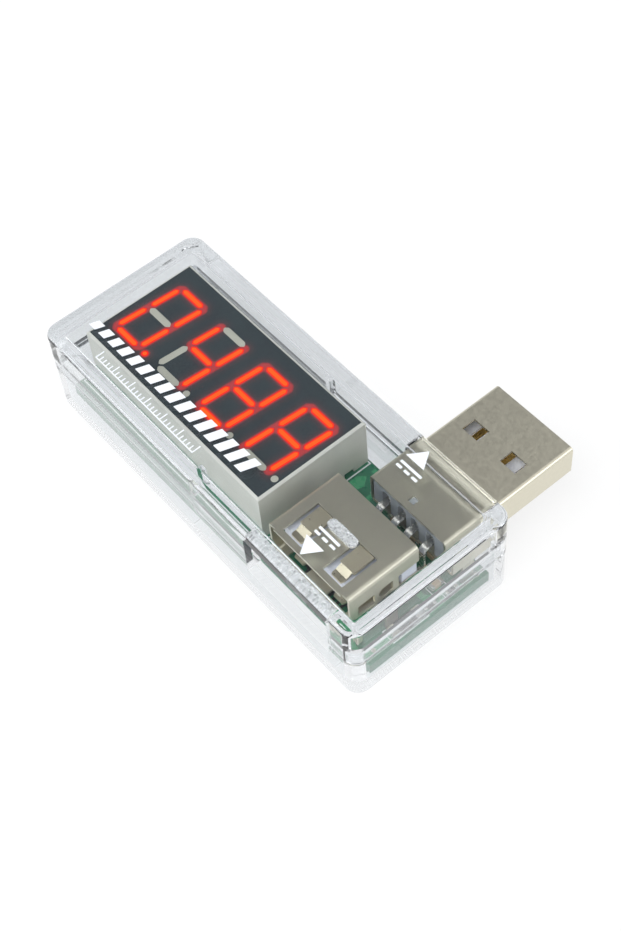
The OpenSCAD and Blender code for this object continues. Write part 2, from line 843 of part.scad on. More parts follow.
module chip_capacitors() {
    color([0.72, 0.6, 0.45]) placed() {
        for (p = large_capacitors) on_board(p, 0) block_chip(l = 2.0, w = 1.25, h = 0.9);
        for (p = small_capacitors) on_board(p, 90) block_chip(l = 1.6, w = 0.8, h = 0.8);
    }
}

// Solder cones under every leg that passes through the board
module solder_joints() {
    base_r = 0.75;
    tip_r = 0.4;
    cone_h = 0.25;
    hole = pin_t + 0.14;
    color([0.75, 0.76, 0.77]) placed()
        for (p = concat(display_pin_places, plug_leg_places, socket_leg_places))
            translate([p[0], p[1], board_bottom - cone_h]) difference() {
                cylinder(h = cone_h, r1 = tip_r, r2 = base_r);
                translate([-hole / 2, -hole / 2, -1]) cube([hole, hole, cone_h + 2]);
            }
}

top_cover();
bottom_cover();
legend_print();
circuit_board();
display_housing();
display_face();
segments_lit();
segments_unlit();
display_board();
led_chips();
display_pins();
plug_shell();
plug_insulator();
plug_contacts();
plug_base();
socket_shell();
socket_insulator();
socket_pins();
contact_spring(0);  // contact_spring_1
contact_spring(1);  // contact_spring_2
contact_spring(2);  // contact_spring_3
contact_spring(3);  // contact_spring_4
retention_spring(-1, 1);  // retention_spring_top_left
retention_spring(1, 1);  // retention_spring_top_right
retention_spring(-1, -1);  // retention_spring_bottom_left
retention_spring(1, -1);  // retention_spring_bottom_right
microcontroller();
voltage_regulator();
sense_amplifier();
shunt_resistor();
chip_resistors();
chip_capacitors();
solder_joints();
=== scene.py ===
"""Looks of a clear-cased USB power meter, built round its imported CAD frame. Lengths are in metres."""

import json
import math

import bmesh
import bpy
from mathutils import Matrix, Quaternion, Vector, noise


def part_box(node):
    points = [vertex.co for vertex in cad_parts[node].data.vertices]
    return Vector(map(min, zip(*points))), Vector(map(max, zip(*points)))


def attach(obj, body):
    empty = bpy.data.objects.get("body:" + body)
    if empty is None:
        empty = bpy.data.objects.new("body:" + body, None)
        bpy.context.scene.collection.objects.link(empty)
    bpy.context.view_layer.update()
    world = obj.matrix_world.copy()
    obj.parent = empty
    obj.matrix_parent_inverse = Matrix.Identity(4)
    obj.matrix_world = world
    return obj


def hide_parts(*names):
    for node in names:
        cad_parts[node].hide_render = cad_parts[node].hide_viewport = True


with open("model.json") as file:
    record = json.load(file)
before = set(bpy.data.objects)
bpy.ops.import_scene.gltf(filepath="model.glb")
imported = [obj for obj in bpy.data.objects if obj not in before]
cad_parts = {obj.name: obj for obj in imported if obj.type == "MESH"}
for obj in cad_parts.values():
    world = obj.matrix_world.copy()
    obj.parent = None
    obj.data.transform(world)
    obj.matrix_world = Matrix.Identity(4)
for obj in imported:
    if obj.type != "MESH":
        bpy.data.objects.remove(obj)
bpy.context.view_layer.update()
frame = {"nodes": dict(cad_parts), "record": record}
NODES = frame["nodes"]
MM = 0.001

# ------------------------------------------------------------------ the case's own measures, in mm

CASE_L = 55.0
CASE_W = 22.5
CASE_H = 12.9
CASE_R = 1.8
PLUG_REACH = 11.7
WALL_T = 1.8
PLATE_T = 1.4
INNER_TOP = CASE_H - PLATE_T
SEAM_Z = 6.5
SEAM_STEP = 0.8
STEP_X = (27.6, 28.4)
LIP_H = 1.2
LIP_T = 0.85
FIT_GAP = 0.1
SEAM_GAP = 0.05
BOARD_TOP = 3.4
BOARD_BOTTOM = 1.8
SOCKET_X = 44.1
SOCKET_Z = 8.2
SOCKET_Y = 3.35
SOCKET_TOP = SOCKET_Z + 2.86
PLUG_X = 46.0
PLUG_Z = 8.3
PLUG_TIP_Y = CASE_W + PLUG_REACH
PLUG_TAIL_Y = 14.35
SOCKET_TAIL_Y = 12.4
PIN_PLACES = (-3.5, -1.0, 1.0, 3.5)
CONNECTOR_LEGS = (
    [(PLUG_X + p, PLUG_TAIL_Y) for p in PIN_PLACES]
    + [(SOCKET_X + p, SOCKET_TAIL_Y) for p in PIN_PLACES]
)
DISPLAY_MID = (18.6, 11.95)
INCH_TENTH = 2.54
DISPLAY_PINS = [
    (DISPLAY_MID[0] + INCH_TENTH * (i - 2.5), DISPLAY_MID[1] + 2 * INCH_TENTH * side)
    for i in range(6) for side in (-1, 1)
]


def at(x, y, z):
    """A place given in mm from the case's display end and socket side, in the row frame."""
    return Vector((x - CASE_L / 2, y - (CASE_W + PLUG_REACH) / 2, z)) * MM


# ------------------------------------------------------------------ materials


class Shader:
    """One node material under construction: a Principled shader and the textures that feed it."""

    def __init__(self, name):
        self.material = bpy.data.materials.new(name)
        self.material.use_nodes = True
        self.tree = self.material.node_tree
        self.main = self.tree.nodes["Principled BSDF"]
        self.place = self.tree.nodes.new("ShaderNodeTexCoord").outputs["Object"]

    def set(self, **values):
        for name, value in values.items():
            self.main.inputs[name.replace("_", " ")].default_value = value
        return self

    def link(self, source, target):
        self.tree.links.new(source, target)

    def noise(self, scale, detail=3.0, roughness=0.5, stretch=None):
        """Fractal noise with a scale in cells per metre."""
        node = self.tree.nodes.new("ShaderNodeTexNoise")
        node.inputs["Scale"].default_value = scale
        node.inputs["Detail"].default_value = detail
        node.inputs["Roughness"].default_value = roughness
        self.link(self.mapped(stretch), node.inputs["Vector"])
        return node.outputs["Fac"]

    def cells(self, scale):
        """Distance to the nearest of many scattered points."""
        node = self.tree.nodes.new("ShaderNodeTexVoronoi")
        node.inputs["Scale"].default_value = scale
        self.link(self.place, node.inputs["Vector"])
        return node.outputs["Distance"]

    def mapped(self, stretch):
        if stretch is None:
            return self.place
        node = self.tree.nodes.new("ShaderNodeMapping")
        node.inputs["Scale"].default_value = stretch
        self.link(self.place, node.inputs["Vector"])
        return node.outputs["Vector"]

    def ramp(self, source, stops):
        """Colours or greys along a 0 to 1 input. stops is a list of (place, colour)."""
        node = self.tree.nodes.new("ShaderNodeValToRGB")
        ramp = node.color_ramp
        while len(ramp.elements) < len(stops):
            ramp.elements.new(0.5)
        for element, (place, colour) in zip(ramp.elements, stops):
            element.position = place
            element.color = grey(colour) if isinstance(colour, float) else (*colour, 1.0)
        self.link(source, node.inputs["Fac"])
        return node.outputs["Color"]

    def mix(self, amount, a, b):
        node = self.tree.nodes.new("ShaderNodeMix")
        node.data_type = "RGBA"
        self.link(amount, node.inputs["Factor"])
        for value, socket in ((a, "A"), (b, "B")):
            target = [s for s in node.inputs if s.name == socket and s.type == "RGBA"][0]
            if isinstance(value, tuple):
                target.default_value = (*value, 1.0)
            else:
                self.link(value, target)
        return [s for s in node.outputs if s.type == "RGBA"][0]

    def multiply(self, a, b):
        node = self.tree.nodes.new("ShaderNodeMix")
        node.data_type = "RGBA"
        node.blend_type = "MULTIPLY"
        node.inputs["Factor"].default_value = 1.0
        for source, target in zip((a, b), [s for s in node.inputs if s.type == "RGBA"]):
            self.link(source, target)
        return [s for s in node.outputs if s.type == "RGBA"][0]

    def colour(self, source):
        self.link(source, self.main.inputs["Base Color"])
        return self

    def rough(self, source):
        self.link(source, self.main.inputs["Roughness"])
        return self

    def bump(self, source, height, strength=1.0):
        node = self.tree.nodes.new("ShaderNodeBump")
        node.inputs["Strength"].default_value = strength
        node.inputs["Distance"].default_value = height
        self.link(source, node.inputs["Height"])
        self.link(node.outputs["Normal"], self.main.inputs["Normal"])
        return self

    def glow(self, source, strength):
        self.link(source, self.main.inputs["Emission Color"])
        self.main.inputs["Emission Strength"].default_value = strength
        return self

    def attribute(self, name):
        node = self.tree.nodes.new("ShaderNodeAttribute")
        node.attribute_name = name
        return node.outputs["Fac"]


def grey(value):
    return (value, value, value, 1.0)


def clear_plastic():
    """Polished clear plastic. Lamps shine through it, so the pieces inside are lit."""
    s = Shader("clear_plastic")
    s.set(Transmission_Weight=1.0, IOR=1.49, Specular_IOR_Level=0.5)
    s.colour(s.ramp(s.noise(90.0), [(0.3, (0.865, 0.882, 0.898)), (0.7, (0.880, 0.895, 0.908))]))
    s.rough(s.ramp(s.noise(260.0), [(0.4, 0.0), (0.9, 0.012)]))
    s.bump(s.noise(120.0, detail=1.0), 0.000012, 0.3)
    nodes, out = s.tree.nodes, s.tree.nodes["Material Output"]
    path = nodes.new("ShaderNodeLightPath")
    either = nodes.new("ShaderNodeMath")
    either.operation = "MAXIMUM"
    s.link(path.outputs["Is Shadow Ray"], either.inputs[0])
    s.link(path.outputs["Is Diffuse Ray"], either.inputs[1])
    clear = nodes.new("ShaderNodeBsdfTransparent")
    clear.inputs["Color"].default_value = (0.95, 0.96, 0.97, 1.0)
    mix = nodes.new("ShaderNodeMixShader")
    s.link(either.outputs[0], mix.inputs["Fac"])
    s.link(s.main.outputs[0], mix.inputs[1])
    s.link(clear.outputs[0], mix.inputs[2])
    s.link(mix.outputs[0], out.inputs["Surface"])
    return s.material


def frosted_plastic():
    """The same plastic where a cutter left it rough: milky, full of small bubbles."""
    s = Shader("frosted_plastic").set(Transmission_Weight=0.45, IOR=1.49)
    s.colour(s.ramp(s.cells(2300.0), [(0.05, (0.50, 0.51, 0.50)), (0.4, (1.0, 1.0, 1.0))]))
    s.rough(s.ramp(s.noise(1800.0), [(0.35, 0.05), (0.65, 0.4)]))
    s.bump(s.cells(2300.0), 0.0002, 0.9)
    return s.material


def plated_steel(name, tint, shine=0.36):
    """Nickel plate over drawn sheet: a fine satin grain with faint cloudy patches."""
    s = Shader(name).set(Metallic=1.0)
    light = tuple(c * 1.01 for c in tint)
    dark = tuple(c * 0.97 for c in tint)
    s.colour(s.ramp(s.noise(2400.0, detail=6.0), [(0.3, dark), (0.7, light)]))
    s.rough(s.ramp(s.noise(2600.0, detail=4.0), [(0.3, shine - 0.03), (0.7, shine + 0.03)]))
    s.bump(s.noise(9000.0, detail=2.0, stretch=(1.0, 0.45, 1.0)), 0.000002, 0.4)
    return s.material


GOLD_TONES = [(0.3, (0.66, 0.45, 0.17)), (0.7, (0.82, 0.62, 0.28))]
GOLD_FROM = PLUG_TAIL_Y + 1.6
GOLD_FULL = PLUG_TAIL_Y + 2.4


def tail_plating():
    """Gold along the plug's tongue, tin on the tails that go down to the board."""
    s = Shader("tail_plating").set(Metallic=1.0)
    split = s.tree.nodes.new("ShaderNodeSeparateXYZ")
    s.link(s.place, split.inputs[0])
    edge = s.tree.nodes.new("ShaderNodeMapRange")
    edge.inputs["From Min"].default_value = at(0, GOLD_FROM, 0).y
    edge.inputs["From Max"].default_value = at(0, GOLD_FULL, 0).y
    s.link(split.outputs["Y"], edge.inputs["Value"])
    tin = s.ramp(s.noise(700.0), [(0.3, (0.68, 0.66, 0.60)), (0.7, (0.90, 0.88, 0.83))])
    gold = s.ramp(s.noise(900.0), GOLD_TONES)
    s.colour(s.mix(edge.outputs["Result"], tin, gold))
    s.rough(s.ramp(s.noise(3000.0), [(0.3, 0.2), (0.7, 0.3)]))
    s.bump(s.noise(2600.0), 0.000002, 0.5)
    return s.material


def gold_plate():
    s = Shader("gold_plate").set(Metallic=1.0)
    s.colour(s.ramp(s.noise(900.0), GOLD_TONES))
    s.rough(s.ramp(s.noise(4000.0), [(0.3, 0.22), (0.7, 0.34)]))
    s.bump(s.noise(7000.0, stretch=(1.0, 0.3, 1.0)), 0.000003, 0.5)
    return s.material


def tinned():
    s = Shader("tinned").set(Metallic=1.0)
    s.colour(s.ramp(s.noise(700.0), [(0.3, (0.66, 0.65, 0.61)), (0.7, (0.86, 0.85, 0.82))]))
    s.rough(s.ramp(s.noise(2500.0), [(0.3, 0.16), (0.7, 0.30)]))
    s.bump(s.noise(2200.0), 0.00002, 0.5)
    return s.material


def moulded(name, low, high, gloss=0.42, grain=5200.0, depth=0.000006):
    """Satin moulded plastic: two close tones in soft clouds under a fine skin texture."""
    s = Shader(name).set(Specular_IOR_Level=0.45)
    s.colour(s.ramp(s.noise(330.0, detail=4.0), [(0.3, low), (0.7, high)]))
    s.rough(s.ramp(s.noise(1500.0), [(0.3, gloss - 0.06), (0.7, gloss + 0.08)]))
    s.bump(s.noise(grain, detail=2.0), depth, 0.6)
    return s.material


def milky_insulator():
    """Translucent white moulding with a lavender shade."""
    s = Shader("milky_insulator")
    s.set(Subsurface_Weight=0.35, Subsurface_Scale=0.0006, Subsurface_Radius=(1.0, 1.0, 1.1))
    s.colour(s.ramp(s.noise(500.0), [(0.3, (0.70, 0.73, 0.82)), (0.7, (0.80, 0.82, 0.88))]))
    s.rough(s.ramp(s.noise(1800.0), [(0.3, 0.34), (0.7, 0.46)]))
    s.bump(s.noise(5000.0), 0.000005, 0.5)
    return s.material


def board_mask():
    """Green solder mask with the weave of the glass cloth faintly under it."""
    s = Shader("board_mask").set(Coat_Weight=0.35, Coat_Roughness=0.12)
    weave = s.tree.nodes.new("ShaderNodeTexBrick")
    weave.inputs["Scale"].default_value = 1600.0
    weave.inputs["Color1"].default_value = (0.018, 0.135, 0.072, 1.0)
    weave.inputs["Color2"].default_value = (0.024, 0.165, 0.088, 1.0)
    weave.inputs["Mortar"].default_value = (0.014, 0.11, 0.058, 1.0)
    weave.inputs["Mortar Size"].default_value = 0.06
    s.link(s.place, weave.inputs["Vector"])
    s.colour(s.mix(s.noise(240.0), weave.outputs["Color"], (0.022, 0.17, 0.09)))
    s.rough(s.ramp(s.noise(1400.0), [(0.3, 0.26), (0.7, 0.40)]))
    s.bump(s.noise(3800.0), 0.000006, 0.5)
    return s.material


def board_copper():
    """Mask over copper: the same green, lighter."""
    s = Shader("board_copper").set(Coat_Weight=0.35, Coat_Roughness=0.12)
    s.colour(s.ramp(s.noise(500.0), [(0.3, (0.045, 0.27, 0.12)), (0.7, (0.06, 0.33, 0.16))]))
    s.rough(s.ramp(s.noise(1400.0), [(0.3, 0.24), (0.7, 0.36)]))
    s.bump(s.noise(3800.0), 0.000004, 0.5)
    return s.material


def ink(name, tone):
    s = Shader(name)
    low = tuple(c * 0.96 for c in tone)
    s.colour(s.ramp(s.noise(1500.0, detail=5.0), [(0.35, low), (0.65, tone)]))
    s.rough(s.ramp(s.noise(3000.0), [(0.3, 0.42), (0.7, 0.58)]))
    s.bump(s.noise(12000.0, detail=2.0), 0.000004, 0.6)
    return s.material


FACE_DARK = (0.030, 0.034, 0.040)
FACE_TEAL = (0.042, 0.056, 0.060)
# Painted light: the red of the glow painted on the dark film round the lit bars
PAINTED_HALO_RED = (0.5, 0.001, 0.001)
LIT_CORE = (1.25, 0.14, 0.0)
LIT_EDGE = (1.1, 0.004, 0.0)


def display_film():
    """Dark film with faint speckle. A red haze of painted light is put on it round the lit bars, as
    emission that fades away from them.
    """
    s = Shader("display_film").set(Specular_IOR_Level=0.12)
    speckle = s.ramp(s.cells(5200.0), [(0.1, FACE_TEAL), (0.75, FACE_DARK)])
    s.colour(s.mix(s.noise(260.0), speckle, FACE_TEAL))
    s.rough(s.ramp(s.noise(2600.0), [(0.3, 0.48), (0.7, 0.62)]))
    s.bump(s.noise(9000.0), 0.000005, 0.6)
    # Painted light: the film glows red near the lit bars, more strongly the nearer each point is
    fade = [(0.0, 0.0), (0.35, (0.009, 0.0, 0.0)), (0.78, (0.05, 0.0003, 0.0004)), (1.0, PAINTED_HALO_RED)]
    painted_halo = s.ramp(s.attribute("glow"), fade)
    return s.glow(painted_halo, 1.0).material


def lit_bar():
    """A bar of glowing epoxy, orange along its middle and red at its edge."""
    s = Shader("lit_bar").set(Roughness=0.5)
    s.set(Base_Color=(0.12, 0.01, 0.004, 1.0), Specular_IOR_Level=0.2)
    heat = s.ramp(s.attribute("core"), [(0.0, LIT_EDGE), (0.45, (1.1, 0.008, 0.0)), (0.7, LIT_CORE)])
    flicker = s.ramp(s.noise(900.0), [(0.3, (0.96, 0.96, 0.96)), (0.7, (1.0, 1.0, 1.0))])
    return s.glow(s.multiply(heat, flicker), 1.0).material


MATERIALS = {
    "clear": clear_plastic(),
    "nickel": plated_steel("nickel", (0.70, 0.665, 0.54), 0.33),
    "spring_nickel": plated_steel("spring_nickel", (0.72, 0.66, 0.50), 0.3),
    "frosted": frosted_plastic(),
    "gold": gold_plate(),
    "tails": tail_plating(),
    "tin": tinned(),
    "solder": tinned(),
    "housing": moulded("housing", (0.60, 0.595, 0.53), (0.66, 0.655, 0.59)),
    "lamp_board": moulded("lamp_board", (0.72, 0.73, 0.68), (0.80, 0.81, 0.76)),
    "insulator": milky_insulator(),
    "grey_block": moulded("grey_block", (0.24, 0.26, 0.275), (0.34, 0.36, 0.375), 0.5, 2600.0, 0.00002),
    "chip": moulded("chip", (0.016, 0.016, 0.018), (0.028, 0.028, 0.03), 0.55),
    "ceramic": moulded("ceramic", (0.42, 0.31, 0.19), (0.50, 0.38, 0.24), 0.5),
    "mask": board_mask(),
    "copper": board_copper(),
    "silk": ink("silk", (0.78, 0.80, 0.80)),
    "legend": ink("legend", (0.80, 0.83, 0.88)),
    "film": display_film(),
    "lit": lit_bar(),
    "unlit": ink("unlit", (0.44, 0.435, 0.36)),
}

# ------------------------------------------------------------------ mesh helpers

SMOOTH_ANGLE = math.radians(38)
HARD_ANGLE = math.radians(25)
FLAT_ANGLE = math.radians(0.5)
WELD = 1e-7


def new_object(bm, name):
    """Turns a bmesh into an object in the scene."""
    mesh = bpy.data.meshes.new(name)
    bm.to_mesh(mesh)
    bm.free()
    obj = bpy.data.objects.new(name, mesh)
    bpy.context.scene.collection.objects.link(obj)
    return obj


def piece(name, bm, material, body, replaced=()):
    """Makes one named piece from a bmesh and puts it on its body."""
    finish_piece(new_object(bm, name), material, body, replaced)


def finish_piece(obj, material, body, replaced=()):
    obj.data.materials.clear()
    obj.data.materials.append(MATERIALS[material])
    obj.data.shade_smooth()
    obj.data.set_sharp_from_angle(angle=SMOOTH_ANGLE)
    normals = obj.modifiers.new("face weighted normals", "WEIGHTED_NORMAL")
    normals.keep_sharp = True
    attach(obj, body)
    if replaced:
        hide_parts(*replaced)


def body_of(node):
    for name, members in frame["record"]["behaviour"]["bodies"].items():
        if node in members:
            return name
    raise KeyError(node)


def softened(node, material, width):
    """The CAD node's own shape with every hard edge rounded by a small width in mm."""
    bm = bmesh.new()
    bm.from_mesh(NODES[node].data)
    bmesh.ops.remove_doubles(bm, verts=bm.verts, dist=WELD)
    bmesh.ops.dissolve_limit(bm, angle_limit=FLAT_ANGLE, verts=bm.verts, edges=bm.edges)
    inner = [e for e in bm.edges if len(e.link_faces) == 2]
    sharp = [e for e in inner if e.calc_face_angle(0.0) > HARD_ANGLE]
    bmesh.ops.bevel(
        bm, geom=sharp, offset=width * MM, offset_type="OFFSET", segments=2,
        profile=0.5, affect="EDGES", clamp_overlap=True,
    )
    piece(node + "_soft", bm, material, body_of(node), [node])


# ------------------------------------------------------------------ clear covers

CORNER_STEPS = 10
FILLET_STEPS = 5
EDGE_ROUND = 0.11
INNER_ROUND = 0.3
MOUTH_HALF = 6.8
MOUTH_LOW = SOCKET_Z - 3.06
MOUTH_TOP = INNER_TOP - 0.15
PASSAGE_HALF_W = 6.15
PASSAGE_HALF_H = 2.4
HOLD_DOWN_L = 4.3
HOLD_DOWN_W = 1.3
HOLD_DOWN_Y = SOCKET_Y + 4.8
RIB_X = (27.15, 28.05)
RIB_DEPTH = 1.0
PAD_W = 2.2
SUNK = 0.2


def outline(margin):
    """Points round the case, drawn in by a margin, with extra points where the seam steps."""
    r = max(CASE_R - margin, 0.4)
    centres = [
        (margin + r, margin + r, 180), (CASE_L - margin - r, margin + r, 270),
        (CASE_L - margin - r, CASE_W - margin - r, 0), (margin + r, CASE_W - margin - r, 90),
    ]
    points = []
    for i, (cx, cy, start) in enumerate(centres):
        for k in range(CORNER_STEPS + 1):
            a = math.radians(start + 90 * k / CORNER_STEPS)
            points.append((cx + r * math.cos(a), cy + r * math.sin(a)))
        if i == 0:
            points += [(x, margin) for x in STEP_X]
        if i == 2:
            points += [(x, CASE_W - margin) for x in reversed(STEP_X)]
    return points


def seam_level(x, extra=0.0):
    """Height of the covers' meeting line at a distance along the case."""
    t = min(max((x - STEP_X[0]) / (STEP_X[1] - STEP_X[0]), 0.0), 1.0)
    return SEAM_Z + SEAM_STEP * (1 - t) + extra


def ring(bm, margin, level):
    """A closed loop of vertices. level is a height, or a function of the distance along the case."""
    height = level if callable(level) else lambda x: level
    return [bm.verts.new(at(x, y, height(x))) for x, y in outline(margin)]


def bridge(bm, a, b):
    n = len(a)
    for i in range(n):
        j = (i + 1) % n
        bm.faces.new((a[i], a[j], b[j], b[i]))


def disc(x, y, r, steps=20):
    """Points round a circle."""
    angles = [math.tau * k / steps for k in range(steps)]
    return [(x + r * math.cos(a), y + r * math.sin(a)) for a in angles]


def close_stack(bm, loops):
    """Joins loops of vertices in order, and closes the first and the last with a face."""
    for a, b in zip(loops, loops[1:]):
        bridge(bm, a, b)
    bm.faces.new(list(reversed(loops[0])))
    bm.faces.new(loops[-1])


def fillet(margin, level, radius, level_sign):
    """(margin, height) pairs along a quarter round from an upright wall in to a flat face."""
    pairs = []
    for k in range(FILLET_STEPS + 1):
        a = math.pi / 2 * k / FILLET_STEPS
        pairs.append((
            margin + radius * (1 - math.cos(a)),
            level + level_sign * radius * math.sin(a),
        ))
    return pairs


def shell(profile):
    """A closed solid from (margin, level) pairs: the first and last rings are capped."""
    bm = bmesh.new()
    close_stack(bm, [ring(bm, margin, level) for margin, level in profile])
    bmesh.ops.recalc_face_normals(bm, faces=bm.faces)
    return bm


def block(lo, hi):
    """A plain block between two corners in metres."""
    bm = bmesh.new()
    bmesh.ops.create_cube(bm, size=1.0)
    fit = Matrix.Translation((lo + hi) / 2) @ Matrix.Diagonal((hi - lo).to_4d())
    bmesh.ops.transform(bm, verts=bm.verts, matrix=fit)
    return bm


def slab(x0, x1, y0, y1, z0, z1, radius, axis="Y"):
    """A block in mm, its four edges along one axis rounded."""
    bm = block(at(x0, y0, z0), at(x1, y1, z1))
    index = "XYZ".index(axis)
    along = [e for e in bm.edges if abs((e.verts[0].co - e.verts[1].co)[index]) > WELD]
    bmesh.ops.bevel(bm, geom=along, offset=radius * MM, segments=4, profile=0.5, affect="EDGES")
    return bm


def carved(bm, name, cut, added):
    """A solid with others joined to it or taken out of it, and its sharp edges rounded."""
    obj = new_object(bm, name)
    tools = []
    for operation, solids in (("UNION", added), ("DIFFERENCE", cut)):
        for solid in solids:
            tool = new_object(solid, name + "_tool")
            step = obj.modifiers.new(operation.lower(), "BOOLEAN")
            step.operation = operation
            step.solver = "EXACT"
            step.object = tool
            tools.append(tool)
    rounding = obj.modifiers.new("rounded edges", "BEVEL")
    rounding.width = EDGE_ROUND * MM
    rounding.segments = 3
    rounding.limit_method = "ANGLE"
    rounding.angle_limit = SMOOTH_ANGLE
    bpy.context.view_layer.update()
    graph = bpy.context.evaluated_depsgraph_get()
    result = bpy.data.meshes.new_from_object(obj.evaluated_get(graph))
    obj.modifiers.clear()
    obj.data = result
    for tool in tools:
        bpy.data.objects.remove(tool)
    return obj


def openings():
    """The solids that cut the socket's mouth and the plug's passage out of either cover."""
    mouth = slab(
        SOCKET_X - MOUTH_HALF, SOCKET_X + MOUTH_HALF, -1, SOCKET_Y,
        MOUTH_LOW, MOUTH_TOP, 0.25,
    )
    passage = slab(
        PLUG_X - PASSAGE_HALF_W, PLUG_X + PASSAGE_HALF_W, CASE_W - WALL_T - 1, CASE_W + 1,
        PLUG_Z - PASSAGE_HALF_H, PLUG_Z + PASSAGE_HALF_H, 0.3,
    )
    return [mouth, passage]


def hold_down_rib():
    """The rib over the socket: round ends, and lumpy sides where it was cut free."""
    low, high = SOCKET_TOP + 0.06, INNER_TOP - 0.03
    rows, steps = 9, 72
    lump_size, lumps_per_mm = 0.05, 3.1
    straight, r = (HOLD_DOWN_L - HOLD_DOWN_W) / 2, HOLD_DOWN_W / 2
    bm = bmesh.new()
    loops = []
    for row in range(rows):
        z = low + (high - low) * row / (rows - 1)
        loop = []
        for k in range(steps):
            a = math.tau * k / steps
            side = math.copysign(straight, math.cos(a)) * min(1.0, abs(math.cos(a)) * 3)
            x, y = SOCKET_X + side + r * math.cos(a), HOLD_DOWN_Y + r * math.sin(a)
            lump = lump_size * noise.noise(Vector((x, y, z)) * lumps_per_mm)
            loop.append(bm.verts.new(at(x + lump * math.cos(a), y + lump * math.sin(a), z + lump / 3)))
        loops.append(loop)
    close_stack(bm, loops)
    bmesh.ops.recalc_face_normals(bm, faces=bm.faces)
    piece("hold_down_rib", bm, "frosted", "cover")


def mouth_ceiling():
    """The cover's face over the socket's mouth, left rough by the mould."""
    high = MOUTH_TOP - 0.01
    bm = slab(
        SOCKET_X - MOUTH_HALF + 0.1, SOCKET_X + MOUTH_HALF - 0.1, 0.12, WALL_T - 0.08,
        high - 0.04, high, 0.15, "Z",
    )
    piece("mouth_ceiling", bm, "frosted", "cover")


def top_cover():
    """The upper cover: a rounded lid with a rebate round its edge and two short upright ribs."""
    outer_round = 0.55
    rebate_margin = WALL_T - LIP_T - FIT_GAP
    rebate_top = SEAM_Z + SEAM_STEP + LIP_H + FIT_GAP
    profile = (
        fillet(0, CASE_H - outer_round, outer_round, 1)[::-1]
        + [(0, seam_level)]
        + [(rebate_margin, seam_level), (rebate_margin, rebate_top), (WALL_T, rebate_top)]
        + fillet(WALL_T, INNER_TOP - INNER_ROUND, INNER_ROUND, 1)
    )
    ribs = [
        slab(*RIB_X, y0, y0 + RIB_DEPTH, SEAM_Z + 2.4, INNER_TOP + 0.3, 0.12, "Z")
        for y0 in (WALL_T - 0.3, CASE_W - WALL_T - RIB_DEPTH + 0.3)
    ]
    cover = carved(shell(profile), "top_cover_clear", openings(), ribs)
    finish_piece(cover, "clear", "cover", ["top_cover"])


def rim_level(x):
    return seam_level(x, -SEAM_GAP)


def lip_level(x):
    return seam_level(x, LIP_H)


def bottom_cover():
    """The lower cover: a tray with a lip round its edge and six pads under the board."""
    outer_round = 0.7
    lip_margin = WALL_T - LIP_T
    profile = (
        fillet(0, outer_round, outer_round, -1)[::-1]
        + [(0, rim_level), (lip_margin, rim_level), (lip_margin, lip_level), (WALL_T, lip_level)]
        + fillet(WALL_T, PLATE_T + INNER_ROUND, INNER_ROUND, -1)
    )
    side = PAD_W + SUNK
    low, high = PLATE_T - SUNK, BOARD_BOTTOM - 0.05
    pads = [
        slab(x0, x0 + side, y0, y0 + side, low, high, 0.2, "Z")
        for x0 in (WALL_T - SUNK, (CASE_L - PAD_W) / 2, CASE_L - WALL_T - PAD_W)
        for y0 in (WALL_T - SUNK, CASE_W - WALL_T - PAD_W)
    ]
    cover = carved(shell(profile), "bottom_cover_clear", openings(), pads)
    finish_piece(cover, "clear", "case", ["bottom_cover"])


# ------------------------------------------------------------------ display

DISPLAY_LO, DISPLAY_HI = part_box("display_face")
DIGIT_PITCH = 7.87
DIGIT_H = 9.06
DIGIT_W = 4.36
DIGIT_SLANT = 0.078
DIGIT_SHIFT = 0.1
DOT_OFFSET = 1.25
DOT_STEPS = 24
BAR_W = 0.86
BAR_GAP = 0.5
TIP_SHRINK = 1.15
SHOULDER_SHARE = 0.95
SOFT_SHARE = 0.42
BAR_SIDES = (
    ("tl", "tr"), ("mr", "tr"), ("br", "mr"), ("bl", "br"), ("bl", "ml"), ("ml", "tl"), ("ml", "mr"),
)
# Which of each digit's bars and point are lit
LIT = (
    (1, 1, 1, 1, 1, 1, 0, 1), (0, 1, 1, 0, 0, 1, 1, 0),
    (1, 1, 1, 1, 1, 1, 1, 0), (1, 1, 1, 0, 1, 1, 1, 0),
)
# The dome of a bar, ring by ring: how far in, how far up, and how near its middle
BAR_DOME = ((0, 0, 0), (0, 0.018, 0), (0.07, 0.03, 0.1), (0.17, 0.033, 0.5), (0.27, 0.035, 1))
# How far from a lit bar the painted red glow on the film reaches, in mm
GLOW_REACH = 1.15
FACE_CELL = 0.15


def digit_centre(index):
    mid = (DISPLAY_LO + DISPLAY_HI) / 2
    return Vector((mid.x / MM + DIGIT_SHIFT + (index - 1.5) * DIGIT_PITCH, mid.y / MM))


def leaned(x, y):
    return Vector((x + DIGIT_SLANT * y, y))


def bar_ends():
    """(start, end) of each of the seven bars round a digit's middle, then of its point."""
    w, h = DIGIT_W / 2, DIGIT_H / 2
    corners = {"tl": (-w, h), "tr": (w, h), "ml": (-w, 0), "mr": (w, 0), "bl": (-w, -h), "br": (w, -h)}
    ends = []
    for a, b in BAR_SIDES:
        p, q = leaned(*corners[a]), leaned(*corners[b])
        pull = (q - p).normalized() * BAR_GAP / 2
        ends.append((p + pull, q - pull))
    dot = leaned(w + DOT_OFFSET, -h)
    return ends + [(dot, dot)]


def lights(lit):
    """Every bar and point in one state, as (start, end) in mm in the row frame."""
    found = []
    for digit, states in enumerate(LIT):
        for (p, q), state in zip(bar_ends(), states):
            if bool(state) == lit:
                found.append((p + digit_centre(digit), q + digit_centre(digit)))
    return found


def distance_to(point, start, end):
    line = end - start
    if line.length_squared < 1e-9:
        return (point - start).length
    t = min(max((point - start).dot(line) / line.length_squared, 0.0), 1.0)
    return (point - start - line * t).length


